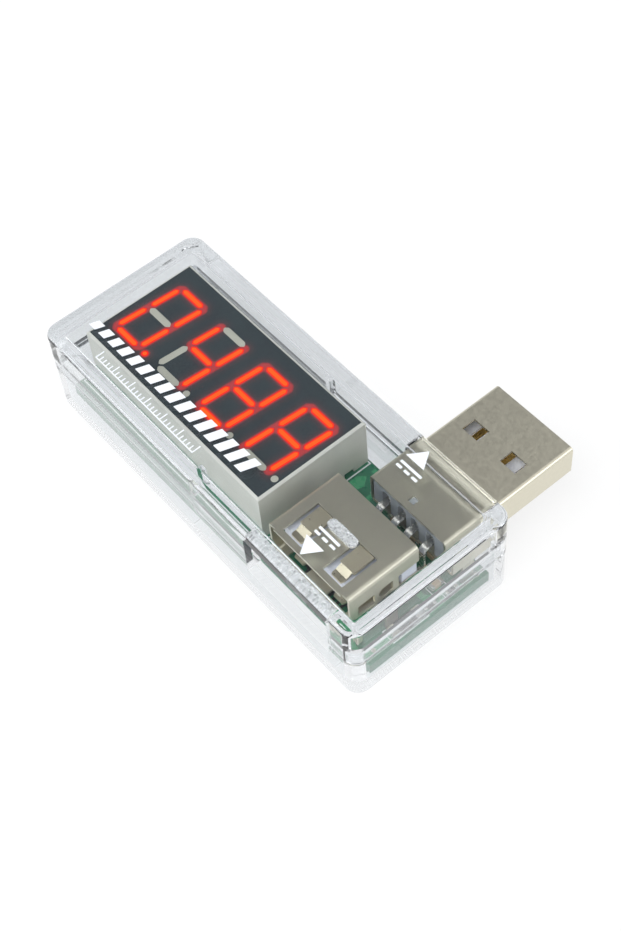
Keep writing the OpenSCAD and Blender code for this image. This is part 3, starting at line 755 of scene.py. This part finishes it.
def bar_outline(start, end, shrink):
    """A long hexagon with its corners rounded, or a circle for a point, drawn in by a margin in mm."""
    w = BAR_W / 2 - shrink
    if (end - start).length < 1e-6:
        return [Vector(p) for p in disc(start.x, start.y, w, DOT_STEPS)]
    along = (end - start).normalized()
    side = Vector((-along.y, along.x))
    length = (end - start).length / 2 - shrink * TIP_SHRINK
    mid = (start + end) / 2
    shoulder = length - w * SHOULDER_SHARE
    corners = [
        (-length, 0), (-shoulder, -w), (shoulder, -w), (length, 0), (shoulder, w), (-shoulder, w),
    ]
    points = []
    for i, (x, y) in enumerate(corners):
        here = Vector((x, y))
        before = Vector(corners[i - 1]) - here
        after = Vector(corners[(i + 1) % 6]) - here
        soft = w * SOFT_SHARE
        a, b = here + before.normalized() * soft, here + after.normalized() * soft
        for t in (0.0, 0.33, 0.67, 1.0):
            p = a.lerp(here, t).lerp(here.lerp(b, t), t)
            points.append(mid + along * p.x + side * p.y)
    return points


def bars(name, lit, material, node):
    """Low domed bars: rings step inward and upward, and carry how near they are to the bar's middle."""
    bm = bmesh.new()
    core = bm.verts.layers.float.new("core")
    for start, end in lights(lit):
        rings = []
        for shrink, rise, warmth in BAR_DOME:
            loop = []
            for p in bar_outline(start, end, shrink):
                v = bm.verts.new((p.x * MM, p.y * MM, DISPLAY_HI.z + rise * MM))
                v[core] = warmth
                loop.append(v)
            rings.append(loop)
        close_stack(bm, rings)
    bmesh.ops.recalc_face_normals(bm, faces=bm.faces)
    piece(name, bm, material, "case", [node])


def display_face():
    """The dark front film as a fine grid that knows how near each point is to a lit bar, which sets the
    painted red glow round the bars.
    """
    bm = bmesh.new()
    glow = bm.verts.layers.float.new("glow")
    lo, hi = DISPLAY_LO / MM, DISPLAY_HI / MM
    nx = round((hi.x - lo.x) / FACE_CELL)
    ny = round((hi.y - lo.y) / FACE_CELL)
    lit = lights(True)
    grid = []
    for j in range(ny + 1):
        row = []
        for i in range(nx + 1):
            p = Vector((lo.x + (hi.x - lo.x) * i / nx, lo.y + (hi.y - lo.y) * j / ny))
            v = bm.verts.new((p.x * MM, p.y * MM, DISPLAY_HI.z))
            nearest = min(distance_to(p, a, b) for a, b in lit) - BAR_W / 2
            v[glow] = min(max(1.0 - nearest / GLOW_REACH, 0.0), 1.0)
            row.append(v)
        grid.append(row)
    for j in range(ny):
        for i in range(nx):
            bm.faces.new((grid[j][i], grid[j][i + 1], grid[j + 1][i + 1], grid[j + 1][i]))
    rim = [e for e in bm.edges if e.is_boundary]
    skirt = bmesh.ops.extrude_edge_only(bm, edges=rim)["geom"]
    low = [g for g in skirt if isinstance(g, bmesh.types.BMVert)]
    for v in low:
        v.co.z = DISPLAY_LO.z
        v[glow] = 0.0
    bmesh.ops.contextual_create(bm, geom=[e for e in bm.edges if e.is_boundary])
    bmesh.ops.recalc_face_normals(bm, faces=bm.faces)
    piece("display_film", bm, "film", "case", ["display_face"])


# ------------------------------------------------------------------ plug contacts

CONTACT_Z = 7.99
CONTACT_T = 0.24
CONTACT_W = 0.95
LEG_W = 0.55
BEND_R = 0.62
BEND_STEPS = 10


def swept_strip(bm, path, widths, thickness):
    """A strip of sheet that follows (y, z) points in mm. Each point has its own middle x and width."""
    edge = min(0.06, thickness * 0.3)
    loops = []
    for i, (y, z) in enumerate(path):
        a = Vector(path[max(i - 1, 0)])
        b = Vector(path[min(i + 1, len(path) - 1)])
        along = (b - a).normalized()
        up = Vector((-along.y, along.x)) * thickness / 2
        x, w = widths[i]
        corners = []
        for sx, su in ((-1, -1), (1, -1), (1, 1), (-1, 1)):
            first = (x + sx * w / 2, su * (1 - 2 * edge / thickness))
            second = (x + sx * (w / 2 - edge), su)
            corners += [first, second] if sx * su > 0 else [second, first]
        loops.append([bm.verts.new(at(cx, y + up.x * cu, z + up.y * cu)) for cx, cu in corners])
    close_stack(bm, loops)


def plug_contacts():
    """Four contacts: flat along the tongue, then over a round bend and down through the board."""
    bm = bmesh.new()
    for p in PIN_PLACES:
        x = PLUG_X + p
        tip = PLUG_TIP_Y - (1.3 if p in (PIN_PLACES[0], PIN_PLACES[-1]) else 2.3)
        path = [(PLUG_TAIL_Y, BOARD_BOTTOM - 0.25), (PLUG_TAIL_Y, BOARD_TOP + 0.8)]
        widths = [(x, LEG_W), (x, CONTACT_W)]
        for k in range(BEND_STEPS + 1):
            a = math.pi / 2 * k / BEND_STEPS
            y, z = PLUG_TAIL_Y + BEND_R * (1 - math.cos(a)), CONTACT_Z - BEND_R + BEND_R * math.sin(a)
            path.append((y, z))
            widths.append((x, CONTACT_W))
        path += [(PLUG_TAIL_Y + 2.2, CONTACT_Z), (PLUG_TAIL_Y + 2.6, CONTACT_Z), (tip, CONTACT_Z)]
        widths += [(x, 0.9), (x, 1.0), (x, 1.0)]
        swept_strip(bm, path, widths, CONTACT_T)
    bmesh.ops.recalc_face_normals(bm, faces=bm.faces)
    piece("plug_contacts_bent", bm, "tails", "case", ["plug_contacts"])


# ------------------------------------------------------------------ circuit board details

PRINT_T = 0.03
PRINT_SUNK = 0.02
VIA_R = 0.28
TOP_PAD_R = 0.72
BOTTOM_PAD_R = 0.95
LANE = 0.36
DISPLAY_PRINT = (2.35, 3.95, 34.95, 19.55)
VIAS = [
    (35.8, 15.6), (38.4, 19.2), (52.2, 12.9), (51.9, 4.2),
    (52.3, 18.6), (40.8, 19.3), (37.2, 3.6), (50.9, 19.3),
]
# A solder joint from the board down to the leg: radius and depth
SOLDER_CURVE = (
    (0.84, 0.0), (0.68, 0.05), (0.54, 0.11), (0.45, 0.19), (0.39, 0.27), (0.30, 0.325), (0.14, 0.34),
)
SOLDER_STEPS = 24
CAP_SHARE = 0.22
CAP_PROUD = 0.02


def prism(bm, points, z0, z1):
    close_stack(bm, [[bm.verts.new(at(x, y, z)) for x, y in points] for z in (z0, z1)])


def ribbon(bm, points, width, z0, z1, closed=False):
    """A flat line of even width through some points, with mitred corners."""
    points = [Vector(p) for p in points]
    count = len(points)
    loops = []
    for i, p in enumerate(points):
        before = (p - points[i - 1]).normalized() if i or closed else None
        after = (points[(i + 1) % count] - p).normalized() if i + 1 < count or closed else None
        along = ((before or after) + (after or before)).normalized()
        reach = width / 2 / max(along.dot(after or before), 0.5)
        side = Vector((-along.y, along.x)) * reach
        left, right = p + side, p - side
        corners = ((left, z0), (right, z0), (right, z1), (left, z1))
        loops.append([bm.verts.new(at(place.x, place.y, z)) for place, z in corners])
    if closed:
        for a, b in zip(loops, loops[1:] + loops[:1]):
            bridge(bm, a, b)
    else:
        close_stack(bm, loops)


def flat_work(name, z0, z1, material, areas=(), lines=(), frames=()):
    """Thin work on a face of the board: filled areas, open lines with a width, and closed frames."""
    bm = bmesh.new()
    for points in areas:
        prism(bm, points, z0, z1)
    for width, points in lines:
        ribbon(bm, points, width, z0, z1)
    for width, (x0, y0, x1, y1) in frames:
        ribbon(bm, [(x0, y0), (x1, y0), (x1, y1), (x0, y1)], width, z0, z1, True)
    bmesh.ops.recalc_face_normals(bm, faces=bm.faces)
    piece(name, bm, material, "case")


def board_top_work():
    """Copper under the mask, white print and bare vias on the board's upper face."""
    tracks = [
        (0.55, [(42.5, PLUG_TAIL_Y), (40.2, PLUG_TAIL_Y), (38.4, 16.2), (38.4, 19.2), (35.9, 19.2)]),
        (0.8, [(49.5, PLUG_TAIL_Y), (51.2, PLUG_TAIL_Y), (52.2, 13.4), (52.2, 11.6)]),
        (0.7, [(47.6, SOCKET_TAIL_Y), (50.6, SOCKET_TAIL_Y), (51.6, 13.6)]),
        (0.9, [(51.7, 6.6), (51.7, 3.4), (44.0, 3.4)]),
        (0.35, [(52.3, 16.0), (52.3, 19.2), (47.0, 19.4)]),
    ]
    for p in PIN_PLACES[1:3]:
        tracks.append((0.3, [(PLUG_X + p, PLUG_TAIL_Y), (SOCKET_X + p, SOCKET_TAIL_Y)]))
    pour = [(35.3, 14.9), (36.4, 14.9), (36.9, 17.0), (36.0, 18.1), (35.3, 17.3)]
    low, high = BOARD_TOP - PRINT_SUNK, BOARD_TOP + PRINT_T
    flat_work("copper_top", low, high, "copper", [pour], tracks)
    boxes = [
        (0.16, DISPLAY_PRINT),
        (0.12, (50.85, 6.4, 52.6, 11.4)),
        (0.1, (51.2, 14.2, 52.4, 16.2)),
        (0.1, (49.8, 13.4, 51.0, 15.4)),
        (0.1, (38.0, 17.0, 39.2, 19.0)),
    ]
    flat_work("white_print_top", low, BOARD_TOP + 1.3 * PRINT_T, "silk", frames=boxes)
    pads = [disc(x, y, VIA_R) for x, y in VIAS]
    pads += [disc(x, y, TOP_PAD_R) for x, y in CONNECTOR_LEGS]
    flat_work("bare_pads_top", low, BOARD_TOP + 1.6 * PRINT_T, "tin", pads)


def pin_track(index, x, y):
    """The track from one display pin out to its lane, along it, and in to the microcontroller."""
    row = index // 2
    if y < DISPLAY_MID[1]:
        side, lane, end = 1, 3.3 + LANE * row, 8.2 + 0.3 * row
    else:
        side, lane, end = -1, 19.2 - LANE * row, 10.9 - 0.3 * row
    last = 39.0 + 0.4 * row
    turn = 0.8
    return [
        (x, y), (x, lane + turn * side), (x + turn, lane),
        (last - turn, lane), (last, lane + turn * side), (last, end),
    ]


def board_bottom_work():
    """Buses of fine tracks, broad power areas and pads on the board's underside."""
    tracks = [(0.17, pin_track(i, x, y)) for i, (x, y) in enumerate(DISPLAY_PINS)]
    for p in (PIN_PLACES[0], PIN_PLACES[-1]):
        tracks.append((1.5, [(PLUG_X + p, PLUG_TAIL_Y), (SOCKET_X + p, SOCKET_TAIL_Y)]))
    areas = [
        [(43.6, 15.4), (51.8, 15.4), (52.4, 16), (52.4, 19), (51.8, 19.4), (44.2, 19.4), (43.6, 18.8)],
        [(45.6, 3.4), (51.8, 3.4), (52.4, 4), (52.4, 10.4), (51.8, 11), (49.2, 11), (45.6, 8.4)],
    ]
    high = BOARD_BOTTOM + PRINT_SUNK
    flat_work("copper_bottom", BOARD_BOTTOM - PRINT_T, high, "copper", areas, tracks)
    boxes = [(0.16, DISPLAY_PRINT), (0.14, (37.4, 3.2, 50.8, 13.1))]
    low = BOARD_BOTTOM - 1.3 * PRINT_T
    flat_work("white_print_bottom", low, high, "silk", frames=boxes)
    pads = [disc(x, y, VIA_R) for x, y in VIAS]
    pads += [disc(x, y, BOTTOM_PAD_R, 28) for x, y in DISPLAY_PINS + CONNECTOR_LEGS]
    flat_work("bare_pads_bottom", BOARD_BOTTOM - 1.6 * PRINT_T, high, "tin", pads)


def solder_joints():
    """Smooth solder fillets that hollow in towards each leg, on the board's underside."""
    bm = bmesh.new()
    for x, y in DISPLAY_PINS + CONNECTOR_LEGS:
        rings = []
        for r, depth in SOLDER_CURVE:
            around = disc(x, y, r, SOLDER_STEPS)
            rings.append([bm.verts.new(at(px, py, BOARD_BOTTOM - depth)) for px, py in around])
        close_stack(bm, rings)
    bmesh.ops.recalc_face_normals(bm, faces=bm.faces)
    piece("solder_fillets", bm, "solder", "case", ["solder_joints"])


def add_mesh(bm, part):
    """Copies one bmesh into another and frees it."""
    spare = bpy.data.meshes.new("spare")
    part.to_mesh(spare)
    part.free()
    bm.from_mesh(spare)
    bpy.data.meshes.remove(spare)


def end_cap(lo, hi, at_high_end):
    """A rounded cap over one end of a chip part, whose box is given."""
    axis = 0 if hi.x - lo.x > hi.y - lo.y else 1
    length = (hi - lo)[axis]
    a, b = lo.copy(), hi.copy()
    if at_high_end:
        a[axis] = hi[axis] - CAP_SHARE * length
    else:
        b[axis] = lo[axis] + CAP_SHARE * length
    grow = Vector((CAP_PROUD, CAP_PROUD, CAP_PROUD)) * MM
    a, b = a - grow, b + grow
    a.z = lo.z
    cap = block(a, b)
    bmesh.ops.bevel(cap, geom=cap.edges[:], offset=0.05 * MM, segments=2, profile=0.5, affect="EDGES")
    return cap


def end_caps():
    """Tinned ends on the small leadless parts, found from their solids."""
    bm = bmesh.new()
    for node in ("chip_resistors", "chip_capacitors", "shunt_resistor"):
        for lo, hi in islands(node):
            for at_high_end in (False, True):
                add_mesh(bm, end_cap(lo, hi, at_high_end))
    piece("part_end_caps", bm, "tin", "case")


def islands(node):
    """The box of each separate solid in a CAD node."""
    bm = bmesh.new()
    bm.from_mesh(NODES[node].data)
    bmesh.ops.remove_doubles(bm, verts=bm.verts, dist=WELD)
    left = set(bm.verts)
    boxes = []
    for start in bm.verts:
        if start not in left:
            continue
        left.discard(start)
        stack, members = [start], []
        while stack:
            v = stack.pop()
            members.append(v.co.copy())
            for e in v.link_edges:
                other = e.other_vert(v)
                if other in left:
                    left.discard(other)
                    stack.append(other)
        lo = Vector([min(c[i] for c in members) for i in range(3)])
        hi = Vector([max(c[i] for c in members) for i in range(3)])
        boxes.append((lo, hi))
    bm.free()
    return boxes


# ------------------------------------------------------------------ assembly of pieces

SOFT_EDGES = {
    "circuit_board": ("mask", 0.04),
    "display_housing": ("housing", 0.1),
    "display_board": ("lamp_board", 0.04),
    "plug_shell": ("nickel", 0.07),
    "plug_insulator": ("insulator", 0.08),
    "plug_base": ("grey_block", 0.06),
    "socket_shell": ("nickel", 0.07),
    "socket_insulator": ("insulator", 0.08),
    "socket_pins": ("gold", 0.03),
    "microcontroller": ("chip", 0.05),
    "voltage_regulator": ("chip", 0.05),
    "sense_amplifier": ("chip", 0.05),
    "shunt_resistor": ("chip", 0.05),
    "chip_resistors": ("chip", 0.04),
    "chip_capacitors": ("ceramic", 0.06),
    "display_pins": ("tin", 0.05),
    "led_chips": ("gold", 0.02),
}


def hardware():
    for node, (material, width) in SOFT_EDGES.items():
        softened(node, material, width)
    for i in range(1, 5):
        softened(f"contact_spring_{i}", "gold", 0.03)
    for place in ("top_left", "top_right", "bottom_left", "bottom_right"):
        softened("retention_spring_" + place, "spring_nickel", 0.05)


def paint_node(node, material):
    obj = NODES[node]
    obj.data.materials.clear()
    obj.data.materials.append(MATERIALS[material])


# ------------------------------------------------------------------ camera and light

VIEW_AZIMUTH = 55.49
VIEW_ELEVATION = 54.84
VIEW_ROLL = -6.58
CAMERA_AT = Vector((92.24, -64.04, 157.6)) * MM
CAMERA_LENS = 63.88


def direction(azimuth, elevation):
    """Unit vector towards a place in the sky. Azimuth 0 is towards -Y and 90 towards +X, in degrees."""
    a, e = math.radians(azimuth), math.radians(elevation)
    return Vector((math.sin(a) * math.cos(e), -math.cos(a) * math.cos(e), math.sin(e)))


def make_camera():
    data = bpy.data.cameras.new("camera")
    data.lens = CAMERA_LENS
    data.sensor_width = 36
    data.clip_start = 0.005
    camera = bpy.data.objects.new("camera", data)
    bpy.context.scene.collection.objects.link(camera)
    camera.location = CAMERA_AT
    camera.rotation_mode = "QUATERNION"
    aim = (-direction(VIEW_AZIMUTH, VIEW_ELEVATION)).to_track_quat("-Z", "Y")
    camera.rotation_quaternion = aim @ Quaternion((0, 0, 1), math.radians(VIEW_ROLL))
    bpy.context.scene.camera = camera


def softbox(name, azimuth, elevation, distance, size, power):
    """A square lamp that faces the object."""
    data = bpy.data.lights.new(name, "AREA")
    data.size = size
    data.energy = power
    data.cycles.use_multiple_importance_sampling = False
    lamp = bpy.data.objects.new(name, data)
    bpy.context.scene.collection.objects.link(lamp)
    towards = direction(azimuth, elevation)
    lamp.location = towards * distance
    lamp.rotation_mode = "QUATERNION"
    lamp.rotation_quaternion = (-towards).to_track_quat("-Z", "Y")


HORIZON = (0.50, 0.53, 0.58)
ZENITH = (0.86, 0.865, 0.87)
ZENITH_FROM = 0.72
# Windows in the sky: azimuth and elevation, width in degrees of core and whole, and brightness
SKY_PATCHES = (
    ("front window", -30, 20, 9, 22, (2.6, 2.65, 2.7)),
    ("side window", 112, 28, 9, 20, (2.4, 2.4, 2.4)),
    ("back window", -170, 38, 6, 16, (0.9, 0.92, 0.95)),
)
# The dark flag that the display mirrors: azimuth, elevation, and width of core and whole
FLAG = (-124.5, 54.8, 9, 21)
FLAG_TONE = (0.15, 0.155, 0.165)
FLOOR_GLOW = 0.74


def sky_spot(tree, azimuth, elevation, core, whole):
    """How near a direction in the sky is to a soft-edged round spot: 1 in its core, 0 outside it."""
    place = tree.nodes.new("ShaderNodeTexCoord")
    near = tree.nodes.new("ShaderNodeVectorMath")
    near.operation = "DOT_PRODUCT"
    near.inputs[1].default_value = direction(azimuth, elevation)
    edge = tree.nodes.new("ShaderNodeMapRange")
    edge.interpolation_type = "SMOOTHSTEP"
    edge.inputs["From Min"].default_value = math.cos(math.radians(whole))
    edge.inputs["From Max"].default_value = math.cos(math.radians(core))
    tree.links.new(place.outputs["Generated"], near.inputs[0])
    tree.links.new(near.outputs["Value"], edge.inputs["Value"])
    return edge.outputs["Result"]


def make_sky():
    """A grey dome, bluer near the horizon, with soft windows and a dark flag over the display."""
    world = bpy.data.worlds.new("studio")
    bpy.context.scene.world = world
    world.use_nodes = True
    world.cycles.sampling_method = "NONE"
    tree = world.node_tree
    place = tree.nodes.new("ShaderNodeTexCoord")
    split = tree.nodes.new("ShaderNodeSeparateXYZ")
    ramp = tree.nodes.new("ShaderNodeValToRGB")
    tree.links.new(place.outputs["Generated"], split.inputs[0])
    tree.links.new(split.outputs["Z"], ramp.inputs["Fac"])
    elements = ramp.color_ramp.elements
    elements[0].position = 0.0
    elements[0].color = (*HORIZON, 1.0)
    elements[1].position = ZENITH_FROM
    elements[1].color = (*ZENITH, 1.0)
    flag = tree.nodes.new("ShaderNodeMix")
    flag.data_type = "RGBA"
    colours = [socket for socket in flag.inputs if socket.type == "RGBA"]
    colours[1].default_value = (*FLAG_TONE, 1.0)
    tree.links.new(sky_spot(tree, *FLAG), flag.inputs["Factor"])
    tree.links.new(ramp.outputs["Color"], colours[0])
    dome = tree.nodes["Background"]
    flagged = [socket for socket in flag.outputs if socket.type == "RGBA"][0]
    tree.links.new(flagged, dome.inputs["Color"])
    total = dome.outputs[0]
    for name, azimuth, elevation, core, whole, colour in SKY_PATCHES:
        window = tree.nodes.new("ShaderNodeBackground")
        window.label = name
        window.inputs["Color"].default_value = (*colour, 1.0)
        tree.links.new(sky_spot(tree, azimuth, elevation, core, whole), window.inputs["Strength"])
        add = tree.nodes.new("ShaderNodeAddShader")
        tree.links.new(total, add.inputs[0])
        tree.links.new(window.outputs[0], add.inputs[1])
        total = add.outputs[0]
    tree.links.new(total, tree.nodes["World Output"].inputs["Surface"])


def make_floor():
    bm = bmesh.new()
    bmesh.ops.create_grid(bm, x_segments=8, y_segments=8, size=1.5)
    floor = new_object(bm, "floor")
    s = Shader("floor_paper").set(Specular_IOR_Level=0.1)
    s.colour(s.ramp(s.noise(6.0), [(0.3, 0.22), (0.7, 0.24)]))
    s.rough(s.ramp(s.noise(40.0), [(0.3, 0.7), (0.7, 0.8)]))
    away = s.tree.nodes.new("ShaderNodeVectorMath")
    away.operation = "LENGTH"
    s.link(s.place, away.inputs[0])
    fade = [(0.12, (1.0, 1.0, 1.0)), (0.25, (0.50, 0.52, 0.55))]
    s.glow(s.ramp(away.outputs["Value"], fade), FLOOR_GLOW)
    floor.data.materials.append(s.material)


def make_studio():
    make_camera()
    make_sky()
    make_floor()
    softbox("key", 10, 62, 0.5, 0.35, 1.3)
    scene = bpy.context.scene
    scene.view_settings.view_transform = "Standard"
    scene.cycles.max_bounces = 24
    scene.cycles.transmission_bounces = 24
    scene.cycles.glossy_bounces = 8
    scene.cycles.transparent_max_bounces = 24


hardware()
top_cover()
hold_down_rib()
mouth_ceiling()
bottom_cover()
plug_contacts()
board_top_work()
board_bottom_work()
solder_joints()
end_caps()
display_face()
bars("bars_lit", True, "lit", "segments_lit")
bars("bars_unlit", False, "unlit", "segments_unlit")
paint_node("legend_print", "legend")
make_studio()
